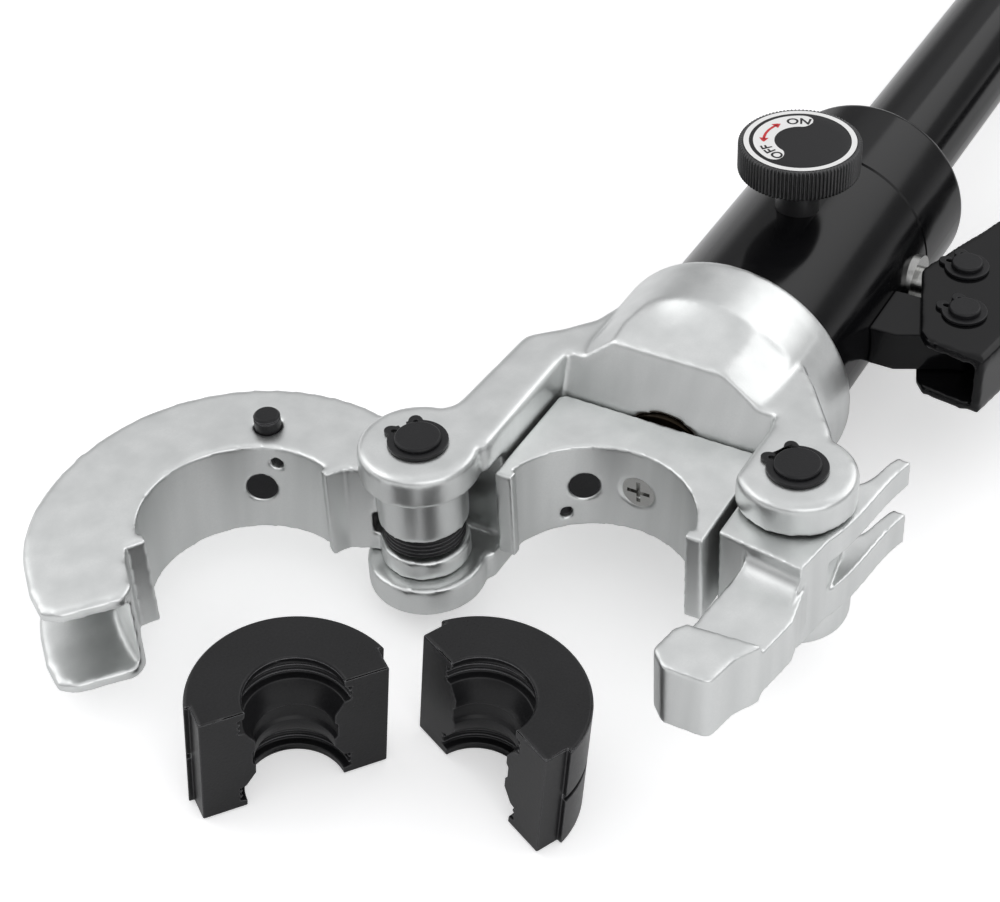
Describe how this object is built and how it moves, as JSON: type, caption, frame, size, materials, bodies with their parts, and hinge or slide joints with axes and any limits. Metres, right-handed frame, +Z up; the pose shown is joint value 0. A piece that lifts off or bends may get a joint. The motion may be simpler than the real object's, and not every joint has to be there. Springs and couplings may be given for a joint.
{
  "type": "hydraulic crimping tool",
  "caption": "Manual hydraulic crimping tool with a swing-open C jaw, hook latch, ram block, pump lever and release knob, lying open beside its loose half-round dies.",
  "frame": {"origin": "middle of the bottom of the whole group, on the bench", "axes": "+X forward along the cylinder to the head, +Y to the latch and pump lever, +Z up"},
  "size_m": [0.627, 0.3124, 0.1077],
  "materials": {
    "satin_steel": "satin",
    "black_steel": "satin black oxide",
    "spring_steel": "dark",
    "bright_steel": "polished",
    "black_paint": "gloss black",
    "grip_rubber": "matt",
    "seal_rubber": "matt",
    "knob_metal": "dark anodised",
    "knob_print": "printed disc",
    "stem_steel": "dark",
    "bush_bronze": "plain"
  },
  "bodies": {
    "tool": {"head_yoke": "satin_steel", "hinge_pin": "black_steel", "hinge_clip_upper": "black_steel", "hinge_clip_lower": "black_steel", "hinge_spring": "spring_steel", "latch_pin": "black_steel", "latch_clip_upper": "black_steel", "latch_clip_lower": "black_steel", "latch_spring": "spring_steel", "cylinder_body": "black_paint", "rod_seal": "seal_rubber", "rod_bush": "bush_bronze", "return_spring": "spring_steel", "delivery_ball": "bright_steel", "intake_ball": "bright_steel", "valve_ball": "bright_steel", "end_cap": "black_paint", "cap_ring": "seal_rubber", "oil_bladder": "seal_rubber", "handle_tube": "black_paint", "handle_plug": "stem_steel", "handle_grip": "grip_rubber", "handle_lug": "black_paint", "pivot_pin": "black_steel", "pivot_clip_upper": "black_steel", "pivot_clip_lower": "black_steel", "plunger_gland": "stem_steel"},
    "jaw": {"upper_jaw": "satin_steel", "button_spring": "spring_steel", "jaw_detent": "black_steel", "jaw_set_screw": "black_steel"},
    "button": {"jaw_button": "satin_steel"},
    "latch": {"latch": "satin_steel"},
    "ram": {"ram_piston": "bright_steel", "piston_seal": "seal_rubber", "die_block": "satin_steel", "block_screw": "bright_steel", "block_detent": "black_steel", "block_set_screw": "black_steel"},
    "knob": {"release_knob": "knob_metal", "knob_face": "knob_print", "valve_stem": "stem_steel", "stem_ring": "seal_rubber"},
    "lever": {"handle_bracket": "black_paint", "plunger_pin": "black_steel", "plunger_clip_upper": "black_steel", "plunger_clip_lower": "black_steel", "lever_socket": "black_paint", "moving_tube": "black_paint", "lever_plug": "stem_steel", "moving_grip": "grip_rubber"},
    "plunger": {"pump_plunger": "bright_steel"},
    "first_die": {"die_a": "black_steel"},
    "second_die": {"die_b": "black_steel"}
  },
  "joints": [
    {"name": "jaw_hinge", "type": "hinge", "parent": "tool", "child": "jaw", "pos_m": [0.19843, -0.05307, 0.03714], "axis": [0, -0.1099, 0.9939], "range_deg": [0, 123]},
    {"name": "die_button_slide", "type": "slide", "parent": "jaw", "child": "button", "axis": [0, 0.1099, -0.9939], "range_m": [0, 0.003], "stiffness_N_per_m": 400, "springref_m": -0.001, "deforming": ["button_spring"]},
    {"name": "latch_hinge", "type": "hinge", "parent": "tool", "child": "latch", "pos_m": [0.15813, 0.05636, 0.04924], "axis": [0, -0.1099, 0.9939], "range_deg": [-4, 28]},
    {"name": "ram_slide", "type": "slide", "parent": "tool", "child": "ram", "axis": [1, 0, 0], "range_m": [0, 0.015], "stiffness_N_per_m": 800, "springref_m": -0.005},
    {"name": "release_knob_turn", "type": "hinge", "parent": "tool", "child": "knob", "pos_m": [0.03713, -0.00191, 0.0931], "axis": [0, -0.1099, 0.9939], "range_deg": [0, 180]},
    {"name": "lever_hinge", "type": "hinge", "parent": "tool", "child": "lever", "pos_m": [0.03863, 0.0667, 0.05038], "axis": [0, -0.1099, 0.9939], "range_deg": [-25, 12]},
    {"name": "pump_slide", "type": "slide", "parent": "tool", "child": "plunger", "axis": [0, 0.9939, 0.1099], "range_m": [-0.0055, 0.0115]},
    {"name": "die_a_lift", "type": "slide", "parent": "tool", "child": "first_die", "axis": [0, 0, 1], "range_m": [0, 0.56]},
    {"name": "die_b_lift", "type": "slide", "parent": "tool", "child": "second_die", "axis": [0, 0, 1], "range_m": [0, 0.56]}
  ],
  "couplings": [
    {"joint": "pump_slide", "follows": "lever_hinge", "m_per_rad": -0.0257},
    {"joint": "die_a_lift", "follows": "jaw_hinge", "m_per_rad": 0.26},
    {"joint": "die_b_lift", "follows": "jaw_hinge", "m_per_rad": 0.26}
  ]
}
